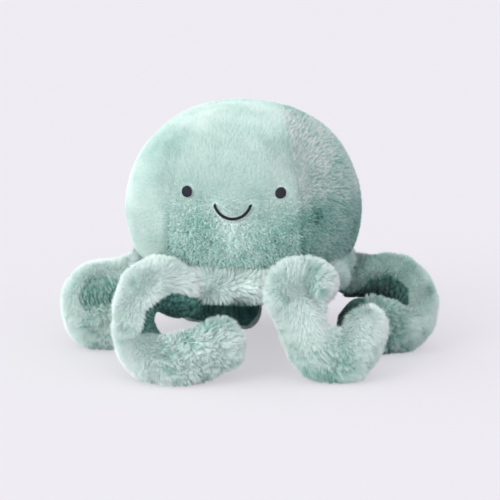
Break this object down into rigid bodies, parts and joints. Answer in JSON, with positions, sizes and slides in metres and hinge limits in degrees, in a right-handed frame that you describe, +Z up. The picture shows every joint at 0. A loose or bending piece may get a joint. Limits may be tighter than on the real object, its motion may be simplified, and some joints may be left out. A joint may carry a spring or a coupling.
{
  "type": "plush octopus toy",
  "caption": "Stuffed plush toy with a round head, an embroidered smiling face and curled arms that stand on the table.",
  "frame": {"origin": "on the table, under the middle of the toy's width and depth", "axes": "+Z up, the face looks along -Y, +X to the viewer's right"},
  "size_m": [0.2764, 0.2222, 0.186],
  "materials": {
    "plush": "soft brushed pile, mint green",
    "underside_cloth": "shorter pile, darker teal, gathered",
    "stuffing": "loose white polyester fibre",
    "embroidery": "satin stitches of dark thread with a slight sheen"
  },
  "bodies": {
    "body": {"head_front_panel": "plush", "head_back_panel": "plush", "head_left_panel": "plush", "head_right_panel": "plush", "head_stuffing": "stuffing", "left_eye": "embroidery", "right_eye": "embroidery", "smile": "embroidery", "skirt_cover": "plush", "skirt_base": "underside_cloth", "skirt_stuffing": "stuffing"},
    "front_left_arm": {"front_left_arm_cover": "plush", "front_left_arm_underside": "underside_cloth", "front_left_arm_stuffing": "stuffing"},
    "front_left_tip": {"front_left_tip_cover": "plush", "front_left_tip_underside": "underside_cloth", "front_left_tip_stuffing": "stuffing"},
    "front_right_arm": {"front_right_arm_cover": "plush", "front_right_arm_underside": "underside_cloth", "front_right_arm_stuffing": "stuffing"},
    "front_right_tip": {"front_right_tip_cover": "plush", "front_right_tip_underside": "underside_cloth", "front_right_tip_stuffing": "stuffing"},
    "right_arm": {"right_arm_cover": "plush", "right_arm_underside": "underside_cloth", "right_arm_stuffing": "stuffing"},
    "right_tip": {"right_tip_cover": "plush", "right_tip_underside": "underside_cloth", "right_tip_stuffing": "stuffing"},
    "back_right_arm": {"back_right_arm_cover": "plush", "back_right_arm_underside": "underside_cloth", "back_right_arm_stuffing": "stuffing"},
    "back_right_tip": {"back_right_tip_cover": "plush", "back_right_tip_underside": "underside_cloth", "back_right_tip_stuffing": "stuffing"},
    "back_left_arm": {"back_left_arm_cover": "plush", "back_left_arm_underside": "underside_cloth", "back_left_arm_stuffing": "stuffing"},
    "back_left_tip": {"back_left_tip_cover": "plush", "back_left_tip_underside": "underside_cloth", "back_left_tip_stuffing": "stuffing"},
    "left_arm": {"left_arm_cover": "plush", "left_arm_underside": "underside_cloth", "left_arm_stuffing": "stuffing"},
    "left_tip": {"left_tip_cover": "plush", "left_tip_underside": "underside_cloth", "left_tip_stuffing": "stuffing"}
  },
  "joints": [
    {"name": "front_left_lift", "type": "hinge", "parent": "body", "child": "front_left_arm", "pos_m": [-0.0497, -0.06104, 0.056], "axis": [-0.8192, 0.5736, 0], "range_deg": [0, 15], "stiffness_Nm_per_rad": 0.6},
    {"name": "front_left_sweep", "type": "hinge", "parent": "front_left_arm", "child": "front_left_tip", "pos_m": [-0.0817, -0.08204, 0.04], "axis": [0, 0, -1], "range_deg": [-10, 40], "stiffness_Nm_per_rad": 0.3},
    {"name": "front_right_lift", "type": "hinge", "parent": "body", "child": "front_right_arm", "pos_m": [0.03374, -0.06614, 0.056], "axis": [-0.8829, -0.4695, 0], "range_deg": [0, 15], "stiffness_Nm_per_rad": 0.6},
    {"name": "front_right_sweep", "type": "hinge", "parent": "front_right_arm", "child": "front_right_tip", "pos_m": [0.03814, -0.09215, 0.042], "axis": [0, 0, -1], "range_deg": [-10, 40], "stiffness_Nm_per_rad": 0.3},
    {"name": "right_lift", "type": "hinge", "parent": "body", "child": "right_arm", "pos_m": [0.07618, 0.00449, 0.056], "axis": [0, -1, 0], "range_deg": [0, 15], "stiffness_Nm_per_rad": 0.6},
    {"name": "right_sweep", "type": "hinge", "parent": "right_arm", "child": "right_tip", "pos_m": [0.12718, -0.01051, 0.035], "axis": [0, 0, 1], "range_deg": [-10, 40], "stiffness_Nm_per_rad": 0.3},
    {"name": "back_right_lift", "type": "hinge", "parent": "body", "child": "back_right_arm", "pos_m": [0.03618, 0.07377, 0.056], "axis": [0.866, -0.5, 0], "range_deg": [0, 15], "stiffness_Nm_per_rad": 0.6},
    {"name": "back_right_sweep", "type": "hinge", "parent": "back_right_arm", "child": "back_right_tip", "pos_m": [0.04318, 0.09877, 0.04], "axis": [0, 0, 1], "range_deg": [-10, 40], "stiffness_Nm_per_rad": 0.3},
    {"name": "back_left_lift", "type": "hinge", "parent": "body", "child": "back_left_arm", "pos_m": [-0.04382, 0.07377, 0.056], "axis": [0.866, 0.5, 0], "range_deg": [0, 15], "stiffness_Nm_per_rad": 0.6},
    {"name": "back_left_sweep", "type": "hinge", "parent": "back_left_arm", "child": "back_left_tip", "pos_m": [-0.05782, 0.09877, 0.04], "axis": [0, 0, 1], "range_deg": [-10, 40], "stiffness_Nm_per_rad": 0.3},
    {"name": "left_lift", "type": "hinge", "parent": "body", "child": "left_arm", "pos_m": [-0.08382, 0.00449, 0.056], "axis": [0, 1, 0], "range_deg": [0, 15], "stiffness_Nm_per_rad": 0.6},
    {"name": "left_sweep", "type": "hinge", "parent": "left_arm", "child": "left_tip", "pos_m": [-0.12732, -0.00051, 0.033], "axis": [0, 0, -1], "range_deg": [-10, 40], "stiffness_Nm_per_rad": 0.3}
  ]
}
